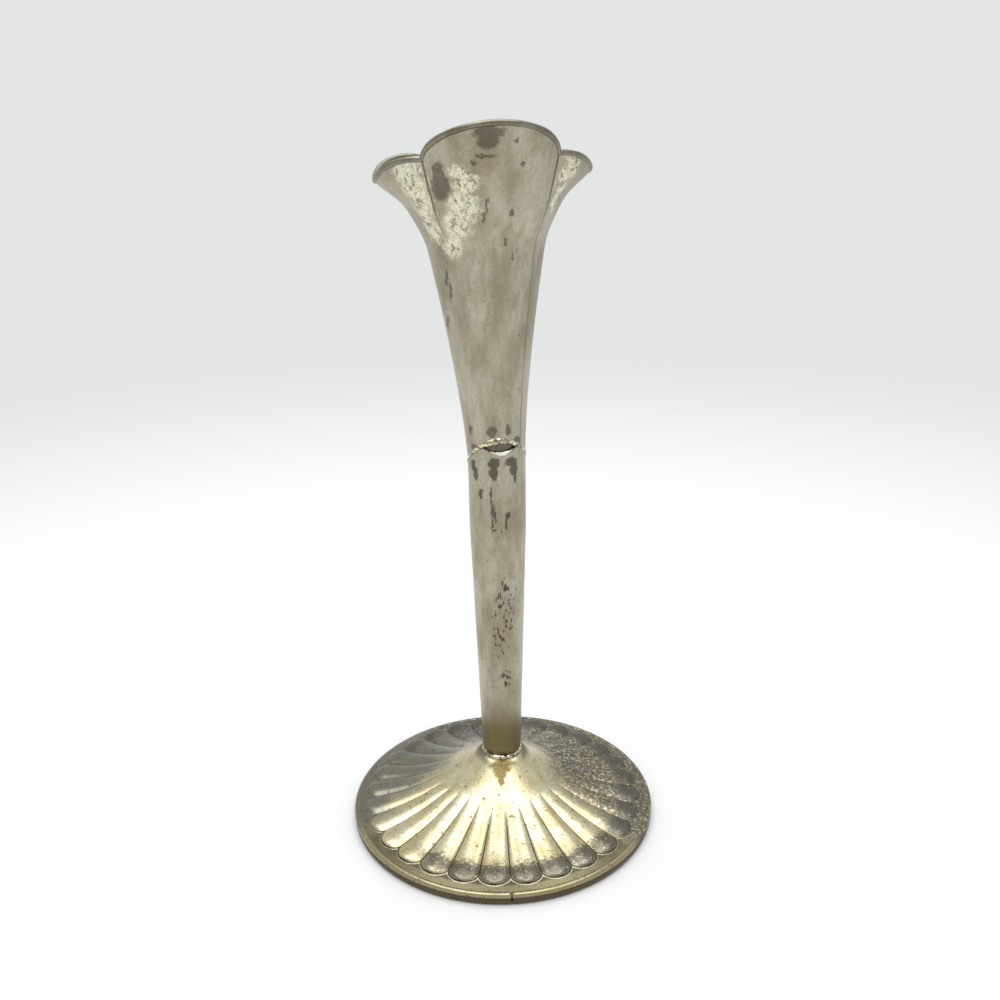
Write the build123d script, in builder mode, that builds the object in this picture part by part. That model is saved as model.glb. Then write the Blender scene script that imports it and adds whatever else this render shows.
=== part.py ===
"""Trumpet vase of silver-plated sheet: a fluted foot, a tapered stem and a trumpet with a four-petal mouth.

Millimetres, +Z up. The origin is the centre of the foot on the table. The front petal faces -Y.
"""

import os
from math import cos, radians, sin, sqrt, tan

from build123d import *

# Sheet and wire stock
trumpet_wall = 0.8
stem_wall = 0.8
foot_sheet = 0.9
mouth_wire_radius = 0.75
slot_clearance = 0.02
overrun = 4.0

# Foot
foot_radius = 40.0
border_height = 2.5
border_width = 2.6
border_round = 0.7
bead_width = 0.9
seam_gap = 0.3
seam_angle = -95.5
band_margin = 3.0
band_height = 3.5
crown_radius = 5.8
crown_height = 17.4
crown_slope = 42.0

# Flutes of the foot
flute_count = 28
flute_start = 14.5
flute_height = 1.15
flute_nose_length = 2.6
flute_sink = 0.35
groove_width = 0.3

# Stem
stem_foot_radius = 5.05
stem_radius = 6.95
stem_straight = 16.8
cup_height = 3.4
cup_round = 2.2

# Solder round the lower end of the stem
foot_solder_width = 0.6
foot_solder_height = 1.5

# Slanted joint between stem and trumpet
joint_height = 98.8
joint_slant = 39.0
solder_seam = 0.6
solder_proud = 0.3
sleeve_wall = 0.6
sleeve_length = 20.0
lens_width = 8.4
lens_depth = 2.1

# Trumpet, measured along its own axis from the joint
trumpet_lean = 1.7
throat_height = 51.2
throat_flare = 6.55
bell_rise = 7.0
bell_flare = 3.4
side_rise = 6.3
side_flare = 6.9
side_lip_growth = 1.2
notch_rise = 5.0
notch_flare = 3.3
front_rise = 7.2
front_flare = 7.1
side_tip_drop = 0.8

# Shares chosen by hand
tube_level_shares = (0.0, 0.17, 0.34, 0.5, 0.65, 0.78, 0.9, 1.0)
tube_flare_share = 1.45
bell_middle_share = 0.45
lip_level_shares = (0.0, 0.25, 0.5, 0.75, 1.0)
lip_flare_share = 1.5
flute_run_shares = (0.0, 0.2, 0.45, 0.75, 1.0)
flute_width_shares = (0.35, 0.92, 1.0, 1.0, 1.0)
flute_rise_shares = (0.08, 0.4, 0.72, 0.92, 1.0)
flute_nose_shares = (0.45, 0.75, 0.92)
groove_rise_share = 0.15
wire_step_count = 12
wire_rise_share = 1.4
notch_bead_share = 1.15


def blend(low, high, share):
    """Value at a share of the way from low to high."""
    return low + (high - low) * share


# Profile that the sheet of the foot, its flutes and its border share
band_radius = foot_radius - band_margin
sheet_edge_radius = foot_radius - bead_width
sheet_edge_height = border_height + foot_sheet / 2
slope_sin = sin(radians(crown_slope))
slope_cos = cos(radians(crown_slope))
cone_run = band_radius - crown_radius
cone_fall = crown_height - band_height
cone_curve = (cone_run**2 + cone_fall**2) / (2 * (slope_sin * cone_run - slope_cos * cone_fall))
cone_centre = (crown_radius + slope_sin * cone_curve, crown_height + slope_cos * cone_curve)


def cone_height(radius):
    """Height of the hollow cone of the foot at a distance from the axis."""
    return cone_centre[1] - sqrt(cone_curve**2 - (radius - cone_centre[0]) ** 2)


def dome_line(drop):
    """Half profile of the foot's top, lowered by drop: flat crown, hollow cone and plain band."""
    crown = Line((0, crown_height - drop), (crown_radius, crown_height - drop))
    cone = TangentArc(crown @ 1, (band_radius, band_height - drop), tangent=(slope_cos, -slope_sin))
    return Line(cone @ 1, (sheet_edge_radius, sheet_edge_height - drop))


# One flute: crowned sections from its pointed inner end to its rounded nose, sunk a little into the sheet
flute_end = band_radius - flute_nose_length
half_pitch = radians(180 / flute_count)
flute_sections = [
    (blend(flute_start, flute_end, run), width, rise)
    for run, width, rise in zip(flute_run_shares, flute_width_shares, flute_rise_shares)
]
flute_sections += [
    (flute_end + flute_nose_length * run, sqrt(1 - run**2), sqrt(1 - run**2)) for run in flute_nose_shares
]

with BuildPart() as flute:
    for radius, width, rise in flute_sections:
        half_width = (radius * tan(half_pitch) - groove_width / 2) * width
        ground = cone_height(radius)
        with BuildSketch(Plane.YZ.offset(radius)):
            with BuildLine():
                crown_arc = ThreePointArc(
                    (-half_width, ground + flute_height * rise * groove_rise_share),
                    (0, ground + flute_height * rise),
                    (half_width, ground + flute_height * rise * groove_rise_share),
                )
                Polyline(
                    crown_arc @ 1,
                    (half_width, ground - flute_sink),
                    (-half_width, ground - flute_sink),
                    crown_arc @ 0,
                )
            make_face()
    loft(ruled=True)

# Stamped sheet of the foot, with its flutes between the crown and the plain band
with BuildPart() as foot_dome:
    with BuildSketch(Plane.XZ):
        with BuildLine():
            top_edge = dome_line(0)
            Line(top_edge @ 1, (sheet_edge_radius, sheet_edge_height - foot_sheet))
            dome_line(foot_sheet)
            Line((0, crown_height), (0, crown_height - foot_sheet))
        make_face()
    revolve(axis=Axis.Z)
    with PolarLocations(0, flute_count, start_angle=seam_angle + 180 / flute_count):
        add(flute.part)

# Wire border that carries the edge of the sheet, cut by its butt seam
border_inner = foot_radius - border_width
with BuildPart() as foot_border:
    with BuildSketch(Plane.XZ):
        with BuildLine():
            Polyline(
                (border_inner, 0),
                (foot_radius - border_round, 0),
                (foot_radius, border_round),
                (foot_radius, sheet_edge_height - border_round),
                (foot_radius - border_round, sheet_edge_height),
                (sheet_edge_radius, sheet_edge_height),
                (sheet_edge_radius, sheet_edge_height - foot_sheet),
                (border_inner, blend(sheet_edge_height, band_height,
                                     (sheet_edge_radius - border_inner) / (sheet_edge_radius - band_radius))
                 - foot_sheet),
                close=True,
            )
        make_face()
    revolve(axis=Axis.Z)
    seam_plane = Plane.XY.rotated((0, 0, seam_angle))
    with BuildSketch(seam_plane):
        with Locations((foot_radius, 0)):
            Rectangle(2 * overrun, seam_gap)
    extrude(amount=sheet_edge_height, mode=Mode.SUBTRACT)

# Drawn cup that closes the lower end of the stem
cup_top = crown_height + cup_height
with BuildPart() as stem_cup:
    with BuildSketch(Plane.XY.offset(crown_height)):
        Circle(stem_foot_radius)
    extrude(amount=cup_height)
    fillet(stem_cup.edges().group_by(Axis.Z)[0], radius=cup_round)
    with BuildSketch(Plane.XY.offset(crown_height + stem_wall)):
        Circle(stem_foot_radius - stem_wall)
    extrude(amount=cup_height, mode=Mode.SUBTRACT)

# Ring of solder between the cup and the crown of the foot
with BuildPart() as foot_solder:
    with BuildSketch(Plane.XZ):
        with BuildLine():
            base = Line(
                (stem_foot_radius - cup_round, crown_height),
                (stem_foot_radius + foot_solder_width, crown_height),
            )
            Polyline(
                base @ 1,
                (stem_foot_radius, crown_height + foot_solder_height),
                (stem_foot_radius - stem_wall / 2, crown_height + stem_wall),
                base @ 0,
            )
        make_face()
    revolve(axis=Axis.Z)
    add(stem_cup.part, mode=Mode.SUBTRACT)

# Slanted planes of the joint: the seam of solder lies between them
slant = Plane(
    origin=(0, 0, joint_height),
    x_dir=(1, 0, 0),
    z_dir=(0, sin(radians(joint_slant)), cos(radians(joint_slant))),
)
seam_low = slant.offset(-solder_seam / 2)
seam_high = slant.offset(solder_seam / 2)
slant_rise = stem_radius * tan(radians(joint_slant))
joint_low = joint_height - slant_rise - overrun
joint_high = joint_height + slant_rise + overrun

# Lens-shaped gap at the front of the joint: a round cut, deepest at lens_depth under the seam's edge
lens_edge = slant_rise * sqrt(1 - (lens_width / 2 / stem_radius) ** 2)
lens_cut_radius = ((lens_width / 2) ** 2 + lens_depth**2) / (2 * lens_depth)
lens_centre = joint_height + lens_edge - lens_depth + lens_cut_radius

# Tapered stem, straight where the sleeve fits, closed by the cup below and slanted at the joint above
stem_taper_end = joint_height - stem_straight
with BuildPart() as stem_tube:
    with BuildSketch(Plane.XZ):
        with BuildLine():
            Polyline(
                (stem_foot_radius, cup_top),
                (stem_radius, stem_taper_end),
                (stem_radius, joint_high),
                (stem_radius - stem_wall, joint_high),
                (stem_radius - stem_wall, stem_taper_end),
                (stem_foot_radius - stem_wall, cup_top),
                close=True,
            )
        make_face()
    revolve(axis=Axis.Z)
    split(bisect_by=seam_low, keep=Keep.BOTTOM)
    with BuildSketch(Plane.XZ):
        with Locations((0, lens_centre)):
            Circle(lens_cut_radius)
    extrude(amount=stem_radius + overrun, mode=Mode.SUBTRACT)

# Inner sleeve that lines up the stem and the trumpet
sleeve_radius = stem_radius - stem_wall
with BuildPart() as joint_sleeve:
    with BuildSketch(Plane.XY.offset(joint_height - sleeve_length / 2)):
        Circle(sleeve_radius)
        Circle(sleeve_radius - sleeve_wall, mode=Mode.SUBTRACT)
    extrude(amount=sleeve_length)

# Heights and radii of the trumpet, each built up from the one below
throat_radius = stem_radius + throat_flare
bell_height = throat_height + bell_rise
bell_radius = throat_radius + bell_flare
side_tip_height = bell_height + side_rise
side_tip_radius = bell_radius + side_flare
notch_height = side_tip_height + notch_rise
notch_radius = bell_radius + notch_flare
front_tip_height = notch_height + front_rise
front_tip_radius = bell_radius + front_flare

# Leaning axis of the trumpet, and its levels
lean_sin = sin(radians(trumpet_lean))
lean_cos = cos(radians(trumpet_lean))
trumpet_base = Plane(
    origin=(0, 0, joint_height), x_dir=(lean_cos, 0, lean_sin), z_dir=(-lean_sin, 0, lean_cos)
)
trumpet_front = Plane(origin=trumpet_base.origin, x_dir=trumpet_base.x_dir, z_dir=-trumpet_base.y_dir)
trumpet_side = Plane(origin=trumpet_base.origin, x_dir=trumpet_base.y_dir, z_dir=trumpet_base.x_dir)


def tube_level(share):
    """Round level of the tube below the throat: height and the three equal radii."""
    radius = blend(stem_radius, throat_radius, share**tube_flare_share)
    return (throat_height * share, radius, radius, radius)


def side_radius(height):
    """Reach of the side and back petals: a quick flare up to their tips, then almost upright."""
    share = (height - bell_height) / (side_tip_height - bell_height)
    if share > 1:
        rise = (height - side_tip_height) / (notch_height - side_tip_height)
        return side_tip_radius + side_lip_growth * rise
    return blend(bell_radius, side_tip_radius, share**lip_flare_share)


def valley_radius(height):
    """Distance of the valleys from the axis."""
    return blend(bell_radius, notch_radius, (height - bell_height) / (notch_height - bell_height))


def front_radius(height):
    """Reach of the tall front petal."""
    return blend(bell_radius, front_tip_radius, (height - bell_height) / (front_tip_height - bell_height))


def petal_level(height):
    """Level of the petals: height, then side, valley and front radii."""
    return (height, side_radius(height), valley_radius(height), front_radius(height))


bell_middle_height = blend(throat_height, bell_height, 0.5)
bell_middle_radius = blend(throat_radius, bell_radius, bell_middle_share)
levels = [(-slant_rise - overrun, stem_radius, stem_radius, stem_radius)]
levels += [tube_level(share) for share in tube_level_shares]
levels += [(bell_middle_height, bell_middle_radius, bell_middle_radius, bell_middle_radius)]
levels += [petal_level(blend(bell_height, side_tip_height, share)) for share in lip_level_shares]
levels += [petal_level(notch_height), petal_level(front_tip_height + overrun)]


def petal_ring(side, valley, front):
    """Closed ring of four petals: arcs that meet in the valleys."""
    v = valley / sqrt(2)
    ThreePointArc((v, -v), (side, 0), (v, v))
    ThreePointArc((v, v), (0, side), (-v, v))
    ThreePointArc((-v, v), (-side, 0), (-v, -v))
    ThreePointArc((-v, -v), (0, -front), (v, -v))


def wall_inset(index, column):
    """Inset of the inner radius that keeps the wall even where the trumpet flares."""
    below = levels[max(index - 1, 0)]
    above = levels[min(index + 1, len(levels) - 1)]
    flare = (above[column] - below[column]) / (above[0] - below[0])
    return trumpet_wall * sqrt(1 + flare**2)


notch_side = notch_radius / sqrt(2)
side_arc_height = notch_height - side_tip_height + side_tip_drop
side_arc_width = side_tip_radius - notch_side

# Open shell of the trumpet with its four petals
with BuildPart() as shell:
    for level in levels:
        with BuildSketch(trumpet_base.offset(level[0])):
            with BuildLine():
                petal_ring(*level[1:])
            make_face()
    loft(ruled=True)
    for index, level in enumerate(levels):
        with BuildSketch(trumpet_base.offset(level[0])):
            with BuildLine():
                petal_ring(*[level[column] - wall_inset(index, column) for column in (1, 2, 3)])
            make_face()
    loft(ruled=True, mode=Mode.SUBTRACT)
    with BuildSketch(trumpet_front):
        with BuildLine():
            EllipticalCenterArc((0, notch_height), notch_side, front_rise, 0, arc_size=180)
            side_arcs = [
                EllipticalCenterArc((turn * notch_side, notch_height - side_arc_height), side_arc_width,
                                    side_arc_height, start, arc_size=90)
                for turn, start in ((1, 0), (-1, 90))
            ]
            Polyline(
                side_arcs[1] @ 1,
                (-side_tip_radius, -slant_rise - 2 * overrun),
                (side_tip_radius, -slant_rise - 2 * overrun),
                side_arcs[0] @ 0,
            )
        make_face()
    extrude(amount=front_tip_radius + overrun, both=True, mode=Mode.INTERSECT)
    with BuildSketch(trumpet_side):
        with BuildLine():
            back_arc = EllipticalCenterArc(
                (notch_side, notch_height - side_arc_height), side_arc_width, side_arc_height, 0, arc_size=90
            )
            Polyline(
                back_arc @ 1,
                (0, notch_height),
                (0, front_tip_height + overrun),
                (-front_tip_radius - overrun, front_tip_height + overrun),
                (-front_tip_radius - overrun, -slant_rise - 2 * overrun),
                (side_tip_radius, -slant_rise - 2 * overrun),
                back_arc @ 0,
            )
        make_face()
    extrude(amount=side_tip_radius + overrun, both=True, mode=Mode.INTERSECT)

# Soldered seam of the joint, a little proud of both tubes
with BuildPart() as joint_solder:
    with BuildSketch(Plane.XY.offset(joint_low)):
        Circle(stem_radius + solder_proud)
        Circle(sleeve_radius, mode=Mode.SUBTRACT)
    extrude(amount=joint_high - joint_low)
    split(bisect_by=seam_high, keep=Keep.BOTTOM)
    split(bisect_by=seam_low, keep=Keep.TOP)


def arc_depth(reach, valley, across):
    """Distance of a petal's arc from the axis, at a distance across from its middle."""
    v = valley / sqrt(2)
    bulge = reach - v
    curve = (v**2 + bulge**2) / (2 * bulge)
    return reach - curve + sqrt(max(curve**2 - across**2, 0))


def front_rim(share):
    """Point on the edge of the front petal, from one notch to the other."""
    angle = radians(180 * share)
    across = notch_side * cos(angle)
    height = notch_height + front_rise * sin(angle)
    return Vector(across, -arc_depth(front_radius(height), valley_radius(height), across), height)


def side_reach(height):
    """Cut edge of the side and back petals, seen along their edge."""
    rise = (height - notch_height + side_arc_height) / side_arc_height
    return notch_side + side_arc_width * sqrt(max(1 - rise**2, 0))


def side_rim(share):
    """Point on the edge of the right petal, from one notch to the other."""
    height = blend(side_cut_height, notch_height, abs(2 * share - 1) ** wire_rise_share)
    v = valley_radius(height) / sqrt(2)
    bulge = side_radius(height) - v
    curve = (v**2 + bulge**2) / (2 * bulge)
    across = sqrt(max(curve**2 - (side_reach(height) - side_radius(height) + curve) ** 2, 0))
    return Vector(side_reach(height), across if share > 0.5 else -across, height)


# Height at which the flare of the side petals meets their cut edge, halved in on from both sides
side_cut_low = side_tip_height - side_tip_drop
side_cut_height = side_tip_height
for halving in range(24):
    middle = blend(side_cut_low, side_cut_height, 0.5)
    if side_radius(middle) > side_reach(middle):
        side_cut_height = middle
    else:
        side_cut_low = middle

# Round wire along the edge of the four petals, then a slightly thicker copy that clears its seat in the edge
wires = []
for clearance in (0, slot_clearance):
    with BuildPart() as wire:
        for rim, turn in ((front_rim, 0), (side_rim, 0), (side_rim, 90), (side_rim, 180)):
            points = [rim(step / wire_step_count) for step in range(wire_step_count + 1)]
            stops = [point.rotate(Axis.Z, turn) for point in points]
            for step, stop in enumerate(stops):
                along = stops[min(step + 1, wire_step_count)] - stops[max(step - 1, 0)]
                outward = Vector(stop.X, stop.Y, 0)
                across = outward - along * (outward.dot(along) / along.dot(along))
                place = Plane(
                    origin=trumpet_base.from_local_coords(stop),
                    x_dir=trumpet_base.from_local_coords(across) - trumpet_base.origin,
                    z_dir=trumpet_base.from_local_coords(along) - trumpet_base.origin,
                )
                with BuildSketch(place):
                    Circle(mouth_wire_radius + clearance)
            loft(ruled=True)
            with Locations(*[trumpet_base.from_local_coords(stop) for stop in (stops[0], stops[-1])]):
                Sphere(mouth_wire_radius * notch_bead_share)
    wires.append(wire)
mouth_wire = wires[0]

# Trumpet, slanted at the joint and fitted round the sleeve and under the wire
with BuildPart() as trumpet:
    add(shell.part)
    split(bisect_by=seam_high, keep=Keep.TOP)
    add(joint_sleeve.part, mode=Mode.SUBTRACT)
    add(wires[1].part, mode=Mode.SUBTRACT)

os.makedirs("parts", exist_ok=True)
pieces = {
    "trumpet": trumpet,
    "mouth_wire": mouth_wire,
    "joint_sleeve": joint_sleeve,
    "joint_solder": joint_solder,
    "stem_tube": stem_tube,
    "stem_cup": stem_cup,
    "foot_solder": foot_solder,
    "foot_dome": foot_dome,
    "foot_border": foot_border,
}
for name, piece in pieces.items():
    piece.part.label = name
    export_step(piece.part, f"parts/{name}.step")
    print(name, len(piece.part.solids()), round(piece.part.volume, 2))
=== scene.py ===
# %% [markdown]
# # Trumpet vase
# This is a silver-plated bud vase: a fluted foot, a slim stem and a trumpet with a petalled mouth, all
# soldered together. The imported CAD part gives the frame. Its solids could be dressed as they are, but
# their facets would show in the plate, so every piece is modelled again here at full smoothness and
# then given a worn finish.

from math import cos, pi, radians, sin, sqrt, tan

import bpy
import numpy as np
from mathutils import Matrix, Vector


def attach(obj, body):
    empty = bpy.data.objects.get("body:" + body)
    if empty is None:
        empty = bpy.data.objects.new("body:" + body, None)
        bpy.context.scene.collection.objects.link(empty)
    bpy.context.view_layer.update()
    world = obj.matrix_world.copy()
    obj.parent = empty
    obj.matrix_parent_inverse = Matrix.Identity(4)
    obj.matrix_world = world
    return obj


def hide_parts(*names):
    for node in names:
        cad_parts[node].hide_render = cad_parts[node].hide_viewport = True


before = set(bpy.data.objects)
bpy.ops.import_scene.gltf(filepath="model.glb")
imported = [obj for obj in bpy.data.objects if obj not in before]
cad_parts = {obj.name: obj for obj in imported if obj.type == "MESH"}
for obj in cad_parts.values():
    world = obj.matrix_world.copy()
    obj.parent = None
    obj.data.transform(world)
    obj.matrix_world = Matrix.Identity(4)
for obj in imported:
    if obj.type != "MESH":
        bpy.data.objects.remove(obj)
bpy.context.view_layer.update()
print("frame nodes:", sorted(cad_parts))

# %% [markdown]
# ## One way to shape sheet metal
# A pressed or spun sheet could be lathed, extruded ring by ring or sculpted. Here each piece is a flat
# grid whose points are moved by a formula. One side of the grid runs round the axis and the other runs
# along the profile, so the flutes, petals and slanted cuts follow the drawing exactly and the mesh
# stays even.
#
# All lengths are millimetres, as on a drawing, and `MM` turns them into Blender's metres. They are
# those of the CAD source, so the two models stay in step. A few are trimmed by under a millimetre to
# sit on the photo.

# %% Grid helper
MM = 0.001
MERGE_DISTANCE = 1e-6


def face_outwards():
    """Turn all faces of the piece that is in edit mode outwards."""
    bpy.ops.mesh.select_all(action="SELECT")
    bpy.ops.mesh.normals_make_consistent(inside=False)


def moved_grid(name, columns, rows, place, smooth_angle=40):
    """Grid primitive whose (u, v) points are moved by place(u, v), in millimetres, and then closed up."""
    bpy.ops.object.select_all(action="DESELECT")
    bpy.ops.mesh.primitive_grid_add(x_subdivisions=columns, y_subdivisions=rows, size=1)
    piece = bpy.context.object
    piece.name = piece.data.name = name
    flat = np.empty(len(piece.data.vertices) * 3)
    piece.data.vertices.foreach_get("co", flat)
    flat = flat.reshape(-1, 3) + 0.5
    x, y, z = place(flat[:, 0], flat[:, 1])
    piece.data.vertices.foreach_set("co", (np.stack([x, y, z], axis=1) * MM).ravel())
    piece.data.update()
    bpy.ops.object.mode_set(mode="EDIT")
    bpy.ops.mesh.select_all(action="SELECT")
    bpy.ops.mesh.remove_doubles(threshold=MERGE_DISTANCE)
    face_outwards()
    bpy.ops.object.mode_set(mode="OBJECT")
    bpy.ops.object.shade_smooth_by_angle(angle=radians(smooth_angle))
    print(f"{name}: {len(piece.data.polygons)} faces")
    return piece


def cap_ends(piece):
    """Close the two open ends of the grid that was made last."""
    bpy.ops.object.mode_set(mode="EDIT")
    bpy.ops.mesh.select_all(action="SELECT")
    bpy.ops.mesh.fill_holes(sides=0)
    face_outwards()
    bpy.ops.object.mode_set(mode="OBJECT")
    print(f"{piece.name} with capped ends: {len(piece.data.polygons)} faces")


# %% [markdown]
# ## Profiles
# A turned piece is drawn as half of its section, a closed list of (radius, height) points. Spin or a
# Screw modifier could turn it. The grid helper does the same with even rings, and it merges the points
# that fall on the axis.

# %% Profile helpers
def around(radius, angle, height):
    """Points at a distance and an angle round the axis."""
    return radius * np.cos(angle), radius * np.sin(angle), height


def profile_at(profile, share):
    """Radius and height at a share of the way along a profile."""
    points = np.array(profile)
    steps = np.linspace(0, 1, len(points))
    return np.interp(share, steps, points[:, 0]), np.interp(share, steps, points[:, 1])


def lathe(profile):
    """Placement that turns a closed profile round the axis."""

    def place(u, v):
        radius, height = profile_at(profile, v)
        return around(radius, 2 * pi * u, height)

    return place


def arc(centre, radius, start, end, count=8):
    """Points along an arc of a profile, angles in degrees."""
    turns = np.radians(np.linspace(start, end, count))
    return [(centre[0] + radius * np.cos(turn), centre[1] + radius * np.sin(turn)) for turn in turns]


# %% [markdown]
# ## Line of the foot
# The foot is one stamped sheet: a crown under the stem, a hollow cone and a plain band near the edge.
# It could be drawn as a spline. An arc that leaves the crown at a known slope and ends on the band
# needs no handles to adjust.

# %% Line of the foot
FOOT_RADIUS = 40.0
FOOT_SHEET = 0.9
BORDER_HEIGHT = 2.5
BEAD_WIDTH = 0.9
BAND_RADIUS = 37.0
BAND_HEIGHT = 3.5
CROWN_RADIUS = 5.8
CROWN_HEIGHT = 17.4
CROWN_SLOPE = radians(42)
SHEET_EDGE = FOOT_RADIUS - BEAD_WIDTH
SHEET_EDGE_HEIGHT = BORDER_HEIGHT + FOOT_SHEET / 2

CONE_RUN = BAND_RADIUS - CROWN_RADIUS
CONE_FALL = CROWN_HEIGHT - BAND_HEIGHT
HOLLOW = (CONE_RUN**2 + CONE_FALL**2) / (2 * (sin(CROWN_SLOPE) * CONE_RUN - cos(CROWN_SLOPE) * CONE_FALL))
HOLLOW_OUT = CROWN_RADIUS + sin(CROWN_SLOPE) * HOLLOW
HOLLOW_UP = CROWN_HEIGHT + cos(CROWN_SLOPE) * HOLLOW


def cone_height(radius):
    """Height of the sheet without its flutes."""
    reach = np.clip(radius, CROWN_RADIUS, BAND_RADIUS) - HOLLOW_OUT
    hollow = HOLLOW_UP - np.sqrt(HOLLOW**2 - reach**2)
    band = np.clip((radius - BAND_RADIUS) / (SHEET_EDGE - BAND_RADIUS), 0, 1)
    return hollow + band * (SHEET_EDGE_HEIGHT - BAND_HEIGHT)


print(f"the cone is hollowed by an arc of {HOLLOW:.1f} mm")

# %% [markdown]
# ## Flutes
# The die pressed 28 flutes up between crown and band. One flute could be modelled and copied round, but
# then its sides would have to be sewn to the sheet. Here the formula adds a crowned lobe to the sheet
# in each pitch. The lobe fades in near the crown and ends in a round nose, so the grooves pinch to
# crisp lines.

# %% Flutes
FLUTE_COUNT = 28
SEAM_ANGLE = radians(-95.5)
FLUTE_START = 14.5
FLUTE_FADE = 5.0
FLUTE_HEIGHT = 1.0
FLUTE_NOSE = 3.0
NOSE_START = BAND_RADIUS - FLUTE_NOSE
START_RISE = 0.3
RISE_POWER = 0.8
LOBE_POWER = 2.2
LOBE_FULLNESS = 0.66
LEAST_NOSE = 1e-3


def flute_rise(angle, radius):
    """Height of the flutes over the sheet."""
    along = np.clip((radius - FLUTE_START) / (NOSE_START - FLUTE_START), 0, 1)
    into_nose = np.clip((radius - NOSE_START) / FLUTE_NOSE, 0, 1)
    nose = np.sqrt(np.clip(1 - into_nose**2, 0, 1))
    pitch = 2 * pi / FLUTE_COUNT
    across = np.abs(((angle - SEAM_ANGLE) / pitch) % 1 - 0.5) * 2
    lobe = np.clip(1 - (across / np.maximum(nose, LEAST_NOSE)) ** LOBE_POWER, 0, 1) ** LOBE_FULLNESS
    fade = np.clip((radius - FLUTE_START) / FLUTE_FADE, 0, 1)
    rise = START_RISE + (1 - START_RISE) * along**RISE_POWER
    return FLUTE_HEIGHT * rise * fade * (2 - fade) * lobe * np.sqrt(nose)


print(f"{FLUTE_COUNT} flutes, {BAND_RADIUS - FLUTE_START:.1f} mm long")

# %% [markdown]
# ## Foot
# The grid runs out along the top of the sheet, over its edge and back along the underside, so the sheet
# gets its thickness without a modifier. Rows are spent where the noses curve most.

# %% Foot
FOOT_COLUMNS = FLUTE_COUNT * 18
FOOT_ROWS = 150
TOP_ROWS = 0.72
ROW_SHARES = [0, 0.06, 0.14, 0.74, 1]
ROW_RADII = [0, 5.4, 12, 33.5, SHEET_EDGE]


def foot_place(u, v):
    """Top of the sheet with its flutes, then the plain underside."""
    angle = 2 * pi * u + SEAM_ANGLE
    top = v < TOP_ROWS
    share = np.where(top, v / TOP_ROWS, (1 - v) / (1 - TOP_ROWS))
    radius = np.where(top, np.interp(share, ROW_SHARES, ROW_RADII), SHEET_EDGE * share)
    height = cone_height(radius)
    height = np.where(top, height + flute_rise(angle, radius), height - FOOT_SHEET)
    return around(radius, angle, height)


foot_dome = moved_grid("foot_dome_look", FOOT_COLUMNS, FOOT_ROWS, foot_place, smooth_angle=75)

# %% [markdown]
# ## Border of the foot
# A wire border carries the edge of the sheet. It is one bent length, butted at a seam, and a turned
# ring would have no seam. So the grid stops short of a full turn and both ends are capped.

# %% Border
BORDER_INNER = FOOT_RADIUS - 2.6
SEAM_GAP = 0.3
SOLE_START = 0.4
SOLE_END = 1.2
SOLE_ROUND = 0.9
SOLE_ROUND_INSET = 1.0
NECK_INSET = 0.28
NECK_HEIGHT = 1.35
BEAD_ROUND = 0.85
BEAD_MIDDLE = 2.3
UNDER_EDGE = (SHEET_EDGE - 0.3, SHEET_EDGE_HEIGHT - 0.5)
UNDER_BAND = (BORDER_INNER, BAND_HEIGHT - FOOT_SHEET - 0.15)

border_profile = [(BORDER_INNER, 0.0), (BORDER_INNER + SOLE_START, 0.0), (FOOT_RADIUS - SOLE_END, 0.0)]
border_profile += arc((FOOT_RADIUS - SOLE_ROUND_INSET, SOLE_ROUND), SOLE_ROUND, -90, 0)
border_profile += [(FOOT_RADIUS - NECK_INSET, NECK_HEIGHT)]
border_profile += arc((FOOT_RADIUS - BEAD_ROUND, BEAD_MIDDLE), BEAD_ROUND, -40, 130, 16)
border_profile += [UNDER_EDGE, UNDER_BAND, (BORDER_INNER, 0.0)]


def border_place(u, v):
    """The profile, swept from one side of the seam round to the other."""
    gap = SEAM_GAP / FOOT_RADIUS
    radius, height = profile_at(border_profile, v)
    return around(radius, SEAM_ANGLE + gap / 2 + (2 * pi - gap) * u, height)


foot_border = moved_grid("foot_border_look", 360, 4 * (len(border_profile) - 1), border_place)
cap_ends(foot_border)

# %% [markdown]
# ## Top of the stem
# The stem's upper end is cut on the slant, and a shallow round bite at the front leaves the lens-shaped
# gap of the repaired joint. Two booleans could cut it. Giving the tube's edge its height at every angle
# keeps the mesh even.

# %% Top of the stem
STEM_RADIUS = 6.95
JOINT_HEIGHT = 98.8
JOINT_SLANT = radians(39)
SOLDER_SEAM = 0.6
LENS_WIDTH = 8.4
LENS_DEPTH = 1.7
BITE_REACH = LENS_WIDTH * 0.6
LENS_EDGE = STEM_RADIUS * tan(JOINT_SLANT) * sqrt(1 - (LENS_WIDTH / 2 / STEM_RADIUS) ** 2)
LENS_CUT = ((LENS_WIDTH / 2) ** 2 + LENS_DEPTH**2) / (2 * LENS_DEPTH)
LENS_CENTRE = JOINT_HEIGHT + LENS_EDGE - LENS_DEPTH + LENS_CUT


def stem_top(x, y):
    """Upper edge of the stem: the slanted cut, with the bite at the front."""
    slanted = JOINT_HEIGHT - SOLDER_SEAM / 2 / cos(JOINT_SLANT) - y * tan(JOINT_SLANT)
    bite = LENS_CENTRE - np.sqrt(np.clip(LENS_CUT**2 - x**2, 0, None))
    return np.where((y < 0) & (np.abs(x) < BITE_REACH), np.minimum(slanted, bite), slanted)


print(f"the gap is bitten out by a circle of {LENS_CUT:.1f} mm")

# %% [markdown]
# ## Stem
# The stem is a tapered tube. A cone primitive with a Solidify modifier would do for a plain one. This
# grid runs up the outside, over the slanted edge and down the inside, and the trumpet will use the same
# rows.

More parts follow.
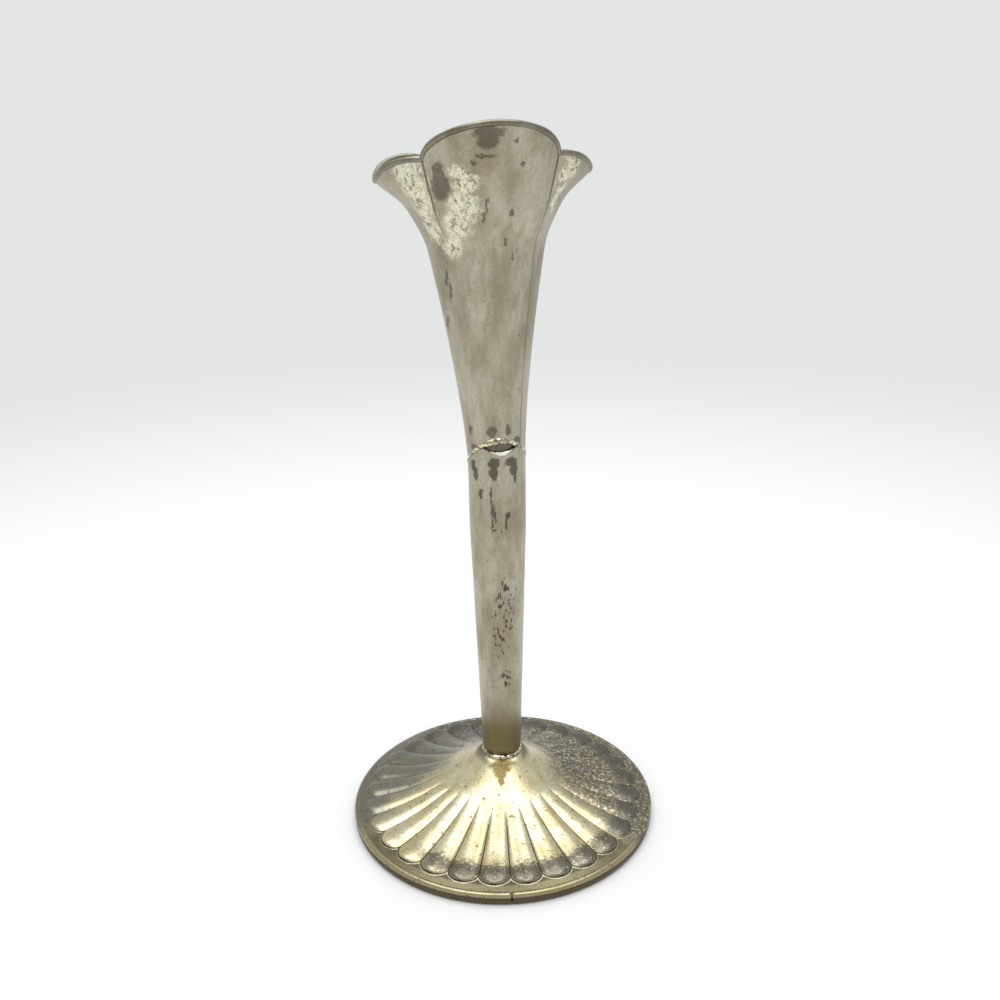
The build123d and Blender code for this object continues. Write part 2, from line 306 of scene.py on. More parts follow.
# %% Stem
STEM_FOOT_RADIUS = 5.05
STEM_TAPER_END = 82.0
STEM_WALL = 0.8
CUP_TOP = CROWN_HEIGHT + 3.4
STEM_ROWS = (0.6, 0.62, 0.36)
LAST_ROW = 0.995


def wall_rows(v, outer_rows, inner_start, inner_rows):
    """Share of the way up a tube, outside and then inside, and which rows lie on the outside."""
    outside = v < outer_rows
    down = 1 - np.clip((v - inner_start) / inner_rows, 0, 1)
    return np.where(outside, v / outer_rows, down), outside | (v > LAST_ROW)


def stem_place(u, v):
    """Tapered tube from the cup to the slanted edge."""
    angle = 2 * pi * u
    share, outside = wall_rows(v, *STEM_ROWS)
    edge = stem_top(STEM_RADIUS * np.cos(angle), STEM_RADIUS * np.sin(angle))
    height = CUP_TOP + (edge - CUP_TOP) * share
    outer = np.interp(height, [CUP_TOP, STEM_TAPER_END], [STEM_FOOT_RADIUS, STEM_RADIUS])
    return around(outer - np.where(outside, 0, STEM_WALL), angle, height)


stem_tube = moved_grid("stem_tube_look", 192, 200, stem_place)

# %% [markdown]
# ## Cup and sleeve
# A drawn cup with a rounded edge closes the stem's lower end, so that the vase holds water. A short
# sleeve inside the joint lines up stem and trumpet, and shows through the gap. Both are plain turned
# parts, so they are lathed.

# %% Cup and sleeve
CUP_ROUND = 2.2
CUP_INNER = STEM_FOOT_RADIUS - STEM_WALL
CUP_FLOOR = CROWN_HEIGHT + STEM_WALL
cup_round_start = STEM_FOOT_RADIUS - CUP_ROUND
cup_profile = [(0, CROWN_HEIGHT), (cup_round_start, CROWN_HEIGHT)]
cup_profile += arc((cup_round_start, CROWN_HEIGHT + CUP_ROUND), CUP_ROUND, -80, 0, 10)
cup_profile += [(STEM_FOOT_RADIUS, CUP_TOP), (CUP_INNER, CUP_TOP), (CUP_INNER, CUP_FLOOR), (0, CUP_FLOOR)]
stem_cup = moved_grid("stem_cup_look", 128, 3 * (len(cup_profile) - 1), lathe(cup_profile))

SLEEVE_LENGTH = 20.0
SLEEVE_OUTER = STEM_RADIUS - STEM_WALL
SLEEVE_INNER = SLEEVE_OUTER - 0.6
sleeve_low = JOINT_HEIGHT - SLEEVE_LENGTH / 2
sleeve_high = JOINT_HEIGHT + SLEEVE_LENGTH / 2
sleeve_profile = [(SLEEVE_OUTER, sleeve_low), (SLEEVE_OUTER, sleeve_high), (SLEEVE_INNER, sleeve_high)]
sleeve_profile += [(SLEEVE_INNER, sleeve_low), (SLEEVE_OUTER, sleeve_low)]
joint_sleeve = moved_grid("joint_sleeve_look", 96, 8 * (len(sleeve_profile) - 1), lathe(sleeve_profile))

# %% [markdown]
# ## Flare of the trumpet
# The trumpet is a sheet rolled to a flaring tube, with four petals beaten out at its mouth. Petals
# could be sculpted from a cone. Drawing three flare curves keeps them measurable: one for the side and
# back petals, which droop, one for the tall front petal and one for the valleys between them. Heights
# are along the trumpet's axis, from the joint.

# %% Flare
TUBE_START = -14
CURVE_END = 92
THROAT_HEIGHT = 51.2
THROAT_RADIUS = 13.5
FLARE_POWER = 1.45
NOTCH_HEIGHT = 69.5
NOTCH_RADIUS = 20.2
SIDE_TIP_HEIGHT = 64.5
SIDE_TIP_RADIUS = 23.8
LEVELS = np.arange(TUBE_START, CURVE_END, 0.1)
EASE_REACH = 8
EASE_PASSES = 5


def eased(points):
    """Smooth curve along (height, radius) points."""
    curve = np.interp(LEVELS, *zip(*points))
    window = 2 * EASE_REACH + 1
    for _ in range(EASE_PASSES):
        wide = np.pad(curve, EASE_REACH, mode="reflect", reflect_type="odd")
        curve = np.convolve(wide, np.ones(window) / window, mode="valid")
    return curve


throat_gain = THROAT_RADIUS - STEM_RADIUS
tube = [(TUBE_START, STEM_RADIUS)]
tube += [(THROAT_HEIGHT * s, STEM_RADIUS + throat_gain * s**FLARE_POWER) for s in np.linspace(0, 1, 12)]
tube += [(54.7, 15.03), (58.2, 16.9)]
side_petal = [(59.8, 17.8), (61.35, 19.34), (62.9, 21.4), (SIDE_TIP_HEIGHT, SIDE_TIP_RADIUS)]
SIDE = eased(tube + side_petal + [(NOTCH_HEIGHT, 25.2), (CURVE_END, 28)])
FRONT = eased(tube + [(67.5, 20.45), (76.7, 24.0), (CURVE_END, 29.8)])
VALLEY = eased(tube + [(NOTCH_HEIGHT, NOTCH_RADIUS), (CURVE_END, 26.7)])
print(f"widest reach at the valleys' height: {np.interp(NOTCH_HEIGHT, LEVELS, SIDE):.1f} mm")

# %% [markdown]
# ## Petals
# Seen from above, the trumpet is round at the joint and opens to four petals. They could be modelled as
# four patches and sewn together. Here the ring at each height is four arcs, each through two valleys and
# one crest, so the petals grow out of the tube without a seam.

# %% Petals
def faces_front(angle):
    """True in the quarter turn of the front petal."""
    return -np.sin(angle) > np.abs(np.cos(angle)) - 1e-9


def petal_radius(angle, height):
    """Distance from the trumpet's axis to its outside."""
    side, front, valley = (np.interp(height, LEVELS, curve) for curve in (SIDE, FRONT, VALLEY))
    turn = (angle + pi / 4) % (pi / 2) - pi / 4
    reach = np.where(faces_front(angle), front, side)
    half = valley / sqrt(2)
    bulge = reach - half
    curve = (half**2 + bulge**2) / (2 * bulge)
    middle = reach - curve
    return middle * np.cos(turn) + np.sqrt(np.clip(curve**2 - (middle * np.sin(turn)) ** 2, 0, None))


corner = petal_radius(np.radians([-45.0]), NOTCH_HEIGHT)[0]
print(f"the petals meet {corner:.1f} mm from the axis at the valleys' height")

# %% [markdown]
# ## Edge of the mouth
# The mouth was cut to an outline that is simplest in the front view: a tall dome for the front petal,
# and arcs that fall to the tips of the others. The left tip is lifted a little, as in the photo. A boolean
# could make the cut. Where the outline meets the ring has no closed formula, so the height of the edge
# is found by halving, and the rows of the grid end exactly on it.

# %% Edge of the mouth
FRONT_TIP_HEIGHT = 75.9
SIDE_TIP_DROP = 0.8
LEFT_LIFT = 1.1
LEFT_PETAL = -0.7
NOTCH_SIDE = NOTCH_RADIUS / sqrt(2)
SIDE_ARC = NOTCH_HEIGHT - SIDE_TIP_HEIGHT + SIDE_TIP_DROP
RIM_LOWEST = 58.0
RIM_HIGHEST = 80.0
HALVINGS = 40


def outline_height(angle, height):
    """Height of the mouth's outline over the point of the ring at this angle."""
    x, y = around(petal_radius(angle, height), angle, height)[:2]
    across = np.where(np.sin(angle) > np.abs(np.cos(angle)), y, np.abs(x))
    dome = np.sqrt(np.clip(1 - (across / NOTCH_SIDE) ** 2, 0, 1))
    front = NOTCH_HEIGHT + (FRONT_TIP_HEIGHT - NOTCH_HEIGHT) * dome
    beyond = np.clip((across - NOTCH_SIDE) / (SIDE_TIP_RADIUS - NOTCH_SIDE), 0, 1)
    side = NOTCH_HEIGHT - SIDE_ARC + SIDE_ARC * np.sqrt(1 - beyond**2)
    side += np.where(np.cos(angle) < LEFT_PETAL, LEFT_LIFT * beyond, 0)
    return np.where(faces_front(angle), front, side)


def rim_height(angle):
    """Height of the mouth's edge, found by halving."""
    under = np.full_like(angle, RIM_LOWEST)
    over = np.full_like(angle, RIM_HIGHEST)
    for _ in range(HALVINGS):
        middle = (under + over) / 2
        inside = outline_height(angle, middle) > middle
        under, over = np.where(inside, middle, under), np.where(inside, over, middle)
    return under


print("tips at", rim_height(np.radians([-90.0, 0.0, 90.0, 180.0])).round(1), "mm: front, right, back, left")

# %% [markdown]
# ## Trumpet
# The trumpet leans a little to the left over the stem, as the repair left it. It could be modelled
# upright and turned, but its lower edge has to follow the slanted cut, so the lean is part of the
# formula.

# %% Trumpet
LEAN = radians(1.7)
TRUMPET_WALL = 0.8
TRUMPET_ROWS = (0.7, 0.71, 0.27)
FLARE_STEP = 0.5
ROW_EASE = 0.25
SEAM_ROUNDS = 12


def lean(x, y, height):
    """From the leaning trumpet's own axes to the frame."""
    return x * cos(LEAN) - height * sin(LEAN), y, JOINT_HEIGHT + height * cos(LEAN) + x * sin(LEAN)


def joint_edge(angle, offset):
    """Height along the trumpet's axis of the slanted cut, offset from the middle of the seam."""
    height = np.zeros_like(angle)
    for _ in range(SEAM_ROUNDS):
        x, y = around(petal_radius(angle, height), angle, height)[:2]
        rise = offset / cos(JOINT_SLANT) - y * tan(JOINT_SLANT)
        height = (rise - x * sin(LEAN)) / cos(LEAN)
    return height


def trumpet_place(u, v):
    """Flared tube from the slanted cut to the mouth's edge, with an even wall."""
    angle = 2 * pi * u
    share, outside = wall_rows(v, *TRUMPET_ROWS)
    share = share * (1 + ROW_EASE - ROW_EASE * share)
    bottom = joint_edge(angle, SOLDER_SEAM / 2)
    height = bottom + (rim_height(angle) - bottom) * share
    widening = petal_radius(angle, height + FLARE_STEP) - petal_radius(angle, height - FLARE_STEP)
    slope = widening / (2 * FLARE_STEP)
    wall = np.where(outside, 0, TRUMPET_WALL * np.sqrt(1 + slope**2))
    return lean(*around(petal_radius(angle, height) - wall, angle, height))


trumpet = moved_grid("trumpet_look", 320, 210, trumpet_place, smooth_angle=60)

# %% [markdown]
# ## Wire along the mouth
# A round wire is soldered along the edge. A curve with a bevel would twist in the valleys, so the grid
# is used again: one side runs along the edge and the other runs round the wire. Two ripples in its
# thickness keep it from looking machine-made.

# %% Mouth wire
WIRE_RADIUS = 0.64
WIRE_INSET = TRUMPET_WALL * 0.3
EDGE_STEP = 0.012


def mouth_edge(angle):
    """Points where the middle of the wire runs."""
    height = rim_height(angle)
    return np.stack(around(petal_radius(angle, height) - WIRE_INSET, angle, height), axis=1)


def unit(vectors):
    """The vectors, each made one unit long."""
    return vectors / np.linalg.norm(vectors, axis=1)[:, None]


def wire_place(u, v):
    """Round section, carried along the mouth's edge."""
    angle = 2 * pi * u
    section = 2 * pi * v[:, None]
    here = mouth_edge(angle)
    along = unit(mouth_edge(angle + EDGE_STEP) - mouth_edge(angle - EDGE_STEP))
    out = here * np.array([1, 1, 0])
    out = unit(out - along * np.sum(out * along, axis=1)[:, None])
    up = np.cross(out, along)
    thick = WIRE_RADIUS * (1 + 0.05 * np.sin(angle * 11) + 0.04 * np.sin(angle * 23 + 1))
    point = here + thick[:, None] * (np.cos(section) * out + np.sin(section) * up)
    return lean(point[:, 0], point[:, 1], point[:, 2])


mouth_wire = moved_grid("mouth_wire_look", 640, 18, wire_place, smooth_angle=80)

# %% [markdown]
# ## Solder of the joint
# The joint was run with solder by hand, so it is lumpy, and thickest at the front left. A torus with a
# Displace modifier would not follow the slant. This ring follows the seam, with a thickness that
# wanders round it.

# %% Solder of the joint
LUMP_WAVES = (3, 5, 8, 14, 23)
RUN_LEAST = 0.26
RUN_LUMPS = 0.16
RUN_FRONT = 0.9
RUN_LIFT = 0.35
RUN_SINK = 0.1
RUN_WIDE = 0.75
RUN_TALL = 1.1


def lumps(angle, seed):
    """Uneven thickness round a seam, about 0 to 1."""
    waves = sum(np.sin(angle * k + seed * k * 1.7) / sqrt(k) for k in LUMP_WAVES)
    return np.clip(0.5 + 0.3 * waves, 0.05, 1.2)


def joint_solder_place(u, v):
    """Lumpy ring along the slanted seam."""
    angle = 2 * pi * u
    front = np.clip(-np.sin(angle), 0, 1) ** 3
    left = np.clip(-np.cos(angle), 0, 1)
    thick = RUN_LEAST + (RUN_LUMPS + RUN_FRONT * (1 + left) * front) * lumps(angle, 2.0)
    height = joint_edge(angle, 0.0) + front * RUN_LIFT
    radius = petal_radius(angle, height) - RUN_SINK + np.cos(2 * pi * v) * thick * RUN_WIDE
    return lean(*around(radius, angle, height + np.sin(2 * pi * v) * thick * RUN_TALL))


joint_solder = moved_grid("joint_solder_look", 288, 14, joint_solder_place, smooth_angle=80)

# %% [markdown]
# ## Pool in the gap
# Some of that solder has sagged into a pool on the lower lip of the gap. It could be sculpted from a
# drop. A short bar along the lip, thicker in its middle, is easier to place. It is joined to the ring,
# being the same solder.

# %% Pool in the gap
POOL_WIDTH = LENS_WIDTH * 0.92
POOL_LEAST = 0.12
POOL_SAG = 0.55
POOL_MIDDLE = 0.55
POOL_HALF = 0.42
POOL_LIFT = 0.1
POOL_RADIUS = STEM_RADIUS - 0.45
POOL_DEEP = 0.8
POOL_TALL = 0.85


def pool_place(u, v):
    """Bar along the lower lip, thicker in its middle."""
    across = (u - 0.5) * POOL_WIDTH
    thick = POOL_LEAST + POOL_SAG * np.clip(1 - ((u - POOL_MIDDLE) / POOL_HALF) ** 2, 0, 1)
    lip = stem_top(across, np.full_like(across, -STEM_RADIUS)) + POOL_LIFT
    forward = np.sqrt(POOL_RADIUS**2 - across**2) + thick * POOL_DEEP * np.cos(2 * pi * v)
    return across, -forward, lip + thick * POOL_TALL * np.sin(2 * pi * v)


pool = moved_grid("solder_pool", 60, 14, pool_place, smooth_angle=80)
cap_ends(pool)
bpy.ops.object.select_all(action="DESELECT")
pool.select_set(True)
joint_solder.select_set(True)
bpy.context.view_layer.objects.active = joint_solder
bpy.ops.object.join()
print("solder with its pool:", len(joint_solder.data.polygons), "faces")

# %% [markdown]
# ## Solder of the foot
# A ring of solder holds the stem to the foot, below the cup's rounding. It is made like the other ring,
# and its lower side stays on the sheet.

# %% Solder of the foot
RING_LEAST = 0.4
RING_LUMPS = 0.46
RING_RADIUS = STEM_FOOT_RADIUS - 0.6
RING_WANDER = 0.3
RING_WIDE = 1.15
RING_LIFT = 0.15
RING_RISE = 0.2
RING_BOTTOM = CROWN_HEIGHT - 0.2


def foot_solder_place(u, v):
    """Lumpy ring on the crown of the foot."""
    angle = 2 * pi * u
    thick = RING_LEAST + RING_LUMPS * lumps(angle, 5.0)
    radius = RING_RADIUS + RING_WANDER * lumps(angle, 3.0) + np.cos(2 * pi * v) * thick * RING_WIDE
    height = CROWN_HEIGHT + RING_LIFT + RING_RISE * lumps(angle, 9.0) + np.sin(2 * pi * v) * thick
    return around(radius, angle, np.maximum(height, RING_BOTTOM))


foot_solder = moved_grid("foot_solder_look", 224, 14, foot_solder_place, smooth_angle=80)

# %% [markdown]
# ## Names and places
# Each piece takes the place of one CAD node. Nothing on the vase moves, so all of them ride on the root
# body.

# %% Names and places
looks = {
    "trumpet": (trumpet, "silver_plate"),
    "mouth_wire": (mouth_wire, "silver_plate"),
    "joint_sleeve": (joint_sleeve, "worn_brass"),
    "joint_solder": (joint_solder, "solder"),
    "stem_tube": (stem_tube, "silver_plate"),
    "stem_cup": (stem_cup, "silver_plate"),
    "foot_solder": (foot_solder, "solder"),
    "foot_dome": (foot_dome, "worn_brass"),
    "foot_border": (foot_border, "worn_brass"),
}
for node, (piece, slot) in looks.items():
    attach(piece, "root")
    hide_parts(node)
print(len(looks), "pieces take the place of the frame's nodes")

# %% [markdown]
# ## Node helpers
# The finishes could be painted on images, but then they would be tied to one unwrapping. These helpers
# build node trees on Object coordinates, in millimetres, so wear and stains sit where the real ones are.
# Sums that a finish needs often have a short name of their own.

# %% Node helpers
class Nodes:
    """A material under construction, with short ways to add nodes to it."""

    def __init__(self, name):
        self.material = bpy.data.materials.new(name)
        self.material.use_nodes = True
        self.tree = self.material.node_tree
        self.tree.nodes.clear()
        self.shader = self.add("ShaderNodeBsdfPrincipled")
        output = self.add("ShaderNodeOutputMaterial")
        self.tree.links.new(self.shader.outputs["BSDF"], output.inputs["Surface"])
        place = self.add("ShaderNodeTexCoord").outputs["Object"]
        metres_to_mm = {0: place, "Scale": 1 / MM}
        self.place = self.add("ShaderNodeVectorMath", metres_to_mm, operation="SCALE").outputs[0]

    def put(self, socket, value):
        """Link a socket, or set a plain value."""
        if isinstance(value, bpy.types.NodeSocket):
            self.tree.links.new(value, socket)
        else:
            socket.default_value = value

    def add(self, kind, inputs=None, **settings):
        """A node with its settings and inputs."""
        node = self.tree.nodes.new(kind)
        for key, value in settings.items():
            setattr(node, key, value)
        for key, value in (inputs or {}).items():
            self.put(node.inputs[key], value)
        return node

    def math(self, operation, a, b=0.0, c=0.0):
        return self.add("ShaderNodeMath", {0: a, 1: b, 2: c}, operation=operation).outputs[0]

    def plus(self, a, b):
        return self.math("ADD", a, b)

    def minus(self, a, b):
        return self.math("SUBTRACT", a, b)

    def times(self, a, *others):
        for other in others:
            a = self.math("MULTIPLY", a, other)
        return a

    def most(self, a, b):
        return self.math("MAXIMUM", a, b)

    def line(self, value, slope, start):
        """value x slope + start"""
        return self.math("MULTIPLY_ADD", value, slope, start)

    def rest(self, share):
        """What a share leaves of 1."""
        return self.minus(1.0, share)

    def vector(self, operation, a, b=(0.0, 0.0, 0.0)):
        return self.add("ShaderNodeVectorMath", {0: a, 1: b}, operation=operation).outputs[0]

    def length(self, vector):
        return self.add("ShaderNodeVectorMath", {0: vector}, operation="LENGTH").outputs["Value"]

    def axes(self):
        """Distances along x, y and z, in millimetres."""
        return self.add("ShaderNodeSeparateXYZ", {0: self.place}).outputs


# %% [markdown]
# ## Paint helpers
# A worn finish is many thin layers, each with its own mask. These helpers make the masks, from noise, from
# eased steps and from soft spots with a ragged edge, and lay one colour over another where a mask says.

# %% Paint helpers
BUMP_DEPTH = 0.2


class Paint(Nodes):
    """Textures, masks and coats of colour for one material."""

    def noise(self, scale, detail=4.0, stretch=(1.0, 1.0, 1.0), shift=(0.0, 0.0, 0.0), roughness=0.55):
        """Noise with a number of waves to the millimetre, stretched and shifted to a place of its own."""
        where = self.vector("ADD", self.vector("MULTIPLY", self.place, stretch), shift)
        inputs = {"Vector": where, "Scale": scale, "Detail": detail, "Roughness": roughness}
        return self.add("ShaderNodeTexNoise", inputs).outputs[0]

    def ramp(self, value, low, high):
        """0 below low, 1 above high, eased between."""
        inputs = {0: value, 1: low, 2: high, 3: 0.0, 4: 1.0}
        return self.add("ShaderNodeMapRange", inputs, interpolation_type="SMOOTHSTEP").outputs[0]

    def strip(self, value, rise, fall):
        """1 in a strip, with a rising and a falling edge of two values each."""
        return self.times(self.ramp(value, *rise), self.rest(self.ramp(value, *fall)))

    def mix(self, share, below, above):
        """One colour over another."""
        made = self.add("ShaderNodeMix", data_type="RGBA")
        self.put(made.inputs[0], share)
        for socket, colour in ((made.inputs[6], below), (made.inputs[7], above)):
            self.put(socket, (*colour, 1.0) if isinstance(colour, tuple) else colour)
        return made.outputs[2]

    def coat(self, below, above, share, strength):
        """One colour over another, where a share says, at most at a strength."""
        return self.mix(self.times(share, strength), below, above)

    def spots(self, spots, wander=1.0, scale=0.5, soft=0.25):
        """Union of soft ellipsoids (centre, radii), with a ragged edge."""
        ragged = {"Vector": self.place, "Scale": scale, "Detail": 8.0, "Roughness": 0.68}
        wobble = self.add("ShaderNodeTexNoise", ragged).outputs["Color"]
        shift = self.vector("MULTIPLY", self.vector("SUBTRACT", wobble, (0.5, 0.5, 0.5)), (wander,) * 3)
        where = self.vector("ADD", self.place, shift)
        total = None
        for centre, radii in spots:
            reach = self.length(self.vector("DIVIDE", self.vector("SUBTRACT", where, centre), radii))
            mask = self.rest(self.ramp(reach, 1.0 - soft, 1.0 + soft))
            total = mask if total is None else self.most(total, mask)
        return total

    def finish(self, colour, metallic, roughness, bump=None, strength=0.3):
        """Plug the layers into the shader."""
        self.put(self.shader.inputs["Base Color"], colour)
        self.put(self.shader.inputs["Metallic"], metallic)
        self.put(self.shader.inputs["Roughness"], roughness)
        if bump is not None:
            inputs = {"Height": bump, "Strength": strength, "Distance": BUMP_DEPTH * MM}
            relief = self.add("ShaderNodeBump", inputs)
            self.put(self.shader.inputs["Normal"], relief.outputs[0])
        return self.material


def dress(piece, material):
    """Give a piece its only material."""
    piece.data.materials.clear()
    piece.data.materials.append(material)
    print(f"{piece.name} wears {material.name}")


# %% [markdown]
# ## Tones of silver plate
# Old plate is a grey-beige mirror gone soft. One colour with a bump would look like plastic, so the
# tone is built in layers: slow patches, fine streaks along the tube, brown dirt, a pale grain and a
# small mottle.

# %% Tones of silver plate
PLATE_DEEP = (0.245, 0.215, 0.148)
PLATE_PALE = (0.395, 0.37, 0.29)
PLATE_STREAK = (0.225, 0.20, 0.14)
PLATE_DIRT = (0.21, 0.172, 0.108)
PLATE_GRAIN = (0.44, 0.42, 0.32)
PLATE_MOTTLE = (0.21, 0.18, 0.125)


def plate_tones(p, grain, tone):
    """Layered colour of the plate, lighter or darker by a tone."""

    def toned(colour):
        return tuple(part * tone for part in colour)

    slow = p.ramp(p.noise(0.11, 4.0, stretch=(1, 1, 0.45)), 0.36, 0.64)
    colour = p.mix(slow, toned(PLATE_DEEP), toned(PLATE_PALE))
    streak = p.ramp(p.noise(1.0, 6.0, stretch=(1, 1, 0.06), roughness=0.65), 0.42, 0.66)
    colour = p.coat(colour, toned(PLATE_STREAK), streak, 0.32)
    dirt = p.noise(0.35, 6.0, stretch=(1, 1, 0.35), shift=(0, 30, 9), roughness=0.65)
    colour = p.coat(colour, toned(PLATE_DIRT), p.ramp(dirt, 0.5, 0.72), 0.6)
    colour = p.coat(colour, toned(PLATE_GRAIN), p.ramp(grain, 0.52, 0.75), 0.55)
    mottle = p.noise(1.7, 8.0, stretch=(1, 1, 0.7), shift=(5, 0, 50), roughness=0.75)
    return p.coat(colour, toned(PLATE_MOTTLE), p.ramp(mottle, 0.46, 0.66), 0.4)


# %% [markdown]
# ## Painted reflection, highlight and shade on the plate
# On top of the tones come painted light and shade: an olive painted reflection of the gold foot on the
# stem's lower end, cream flakes with dark ones between them as a painted highlight where the light
# source reflects in the valleys' flanks, and dark lines in the valleys between the petals, painted
# shade where the front petal overlaps the side petals, with a seam line running on down the right.

# %% Painted light and shade on the plate
# Olive of the painted reflection of the gold foot on the stem's lower end.
FOOT_REFLECTION_OLIVE = (0.21, 0.165, 0.06)
FLAKE_SHADOW = (0.12, 0.105, 0.075)
# Cream of the flakes of painted highlight.
HIGHLIGHT_CREAM_DEEP = (0.66, 0.62, 0.43)
HIGHLIGHT_CREAM_PALE = (0.88, 0.86, 0.69)
OLIVE_FROM = 28.5
OLIVE_TO = 32.0
VALLEY_FROM = 148.0
VALLEY_TO = 162.0


def painted_foot_reflection(p, colour, grain):
    """Painted reflection of the gold foot, in olive, on the lower end of the stem."""
    _, _, height = p.axes()
    near_foot = p.rest(p.ramp(p.line(grain, 3.0, height), OLIVE_FROM, OLIVE_TO))
    return p.coat(colour, FOOT_REFLECTION_OLIVE, near_foot, 0.6)


def highlight_flakes(p, colour, grain, highlight_patches):
    """Cream flakes with dark ones between them, a painted highlight in the given patches, and the share
    that they cover.
    """
    flakes = p.noise(0.85, 9.0, stretch=(1, 1, 0.7), shift=(7, 3, 1), roughness=0.76)
    patch = p.spots(highlight_patches, wander=6.0, scale=0.45, soft=0.4)
    shadow = p.times(patch, p.rest(p.ramp(flakes, 0.36, 0.46)))
    colour = p.coat(colour, FLAKE_SHADOW, shadow, 0.7)
    cream = p.mix(p.ramp(grain, 0.4, 0.6), HIGHLIGHT_CREAM_DEEP, HIGHLIGHT_CREAM_PALE)
    share = p.times(patch, p.ramp(flakes, 0.43, 0.51))
    return p.mix(share, colour, cream), share


def valley_shade_and_seam(p):
    """Dark lines beside the front petal, painted shade where it overlaps the side petals; the right one
    runs faintly on down the tube as a seam line.
    """
    x, y, z = p.axes()
    own_x = p.line(p.minus(z, JOINT_HEIGHT), sin(LEAN), x)
    off = p.math("ABSOLUTE", p.plus(p.math("ABSOLUTE", own_x), y))
    line = p.rest(p.ramp(off, 0.1, 0.5))
    down_right = p.times(p.ramp(x, 2.0, 4.0), 0.5)
    return p.times(line, p.most(p.ramp(z, VALLEY_FROM, VALLEY_TO), down_right))


# %% [markdown]
# ## Silver plate
# The last layer is dark: specks all over, thicker in a cluster, stains in chosen places, and painted
# shade in the trumpet's valleys. The specks could be scattered dots. Here they are cut from one noise by
# a limit, because pits eaten into plate have hard, ragged edges. All dark marks are also rougher and a
# little deeper than the plate.

# %% Silver plate
# Dark colour of specks and stains, and of the painted shade in the valleys.
STAIN_AND_SHADE = (0.075, 0.06, 0.044)
SPECK_LIMIT = 0.655
CLUSTER_DROP = -0.13


def silver_plate(name, highlight_patches=(), stains=(), cluster=(), tone=1.21, valleys=False, foot_reflection=False, depth=0.78):
    """Plate with its marks, painted highlight and painted shade; depth is how dark its specks, stains and
    painted shade are.
    """
    p = Paint(name)
    grain = p.noise(2.6, 6.0, roughness=0.65)
    colour = plate_tones(p, grain, tone)
    metallic = 1.0
    roughness = p.line(grain, 0.25, 0.2)
    # Painted reflection of the gold foot on the lower end of the stem.
    if foot_reflection:
        colour = painted_foot_reflection(p, colour, grain)
    limit = SPECK_LIMIT
    if cluster:
        limit = p.line(p.spots(cluster, wander=2.0, scale=0.3, soft=0.5), CLUSTER_DROP, limit)
    pitting = p.noise(1.2, 7.0, stretch=(1, 1, 0.5), shift=(40, 0, 0), roughness=0.63)
    dark = p.ramp(p.minus(pitting, limit), 0.0, 0.05)
    # Cream flakes in the listed patches: a painted highlight where the light source reflects.
    if highlight_patches:
        colour, share = highlight_flakes(p, colour, grain, highlight_patches)
        metallic = p.line(share, -0.5, 1.0)
        roughness = p.line(share, 0.2, roughness)
    if stains:
        stain = p.spots(stains, wander=2.4, scale=0.9, soft=0.22)
        dark = p.most(dark, p.times(stain, p.line(grain, 0.5, 0.6)))
    # Dark lines in the valleys: painted shade, and down the right a seam line.
    if valleys:
        dark = p.most(dark, valley_shade_and_seam(p))
    colour = p.coat(colour, STAIN_AND_SHADE, dark, depth)
    roughness = p.line(dark, 0.15, roughness)
    return p.finish(colour, metallic, roughness, p.line(dark, -0.4, grain), 0.15)


dress(mouth_wire, silver_plate("plate_wire", tone=0.7))
dress(stem_cup, silver_plate("plate_cup", foot_reflection=True))
# The sleeve's plate is made darker: painted shade inside the gap.
dress(joint_sleeve, silver_plate("plate_sleeve_shaded", tone=0.42))

# %% [markdown]
# ## Marks on the trumpet
# Each mark is a soft ellipsoid: its centre and its radii, in millimetres. They could be painted by hand
# in a window. Listed like this they can be moved one at a time. The patches of painted highlight lie
# along the valleys' flanks, and the stains are under the front petal's tip, down the left side and
# round the joint.

# %% Marks on the trumpet
# Patches of painted highlight on the valleys' flanks.
TRUMPET_HIGHLIGHT_PATCHES = [
    ((-9.4, -18.6, 165.4), (1.6, 3.0, 1.4)),
    ((-7.8, -18.4, 163.2), (2.4, 3.0, 1.8)),
    ((-8.4, -16.3, 158.8), (3.4, 3.5, 4.2)),
    ((-9.6, -13.6, 154.4), (3.0, 3.2, 3.6)),
    ((-10.3, -10.6, 150.0), (2.2, 3.0, 3.0)),
    ((-19.4, -12.4, 165.6), (3.4, 3.4, 2.8)),
    ((-18.1, -11.8, 161.8), (3.4, 3.4, 3.2)),
    ((-16.3, -10.4, 158.0), (2.6, 3.0, 3.6)),
    ((-14.2, -8.7, 153.5), (1.9, 2.6, 3.6)),
    ((15.4, -12.3, 166.0), (1.8, 2.4, 2.6)),
    ((13.6, -11.9, 162.4), (1.3, 2.0, 3.4)),
    ((12.0, -10.9, 158.6), (1.0, 1.6, 3.2)),
]
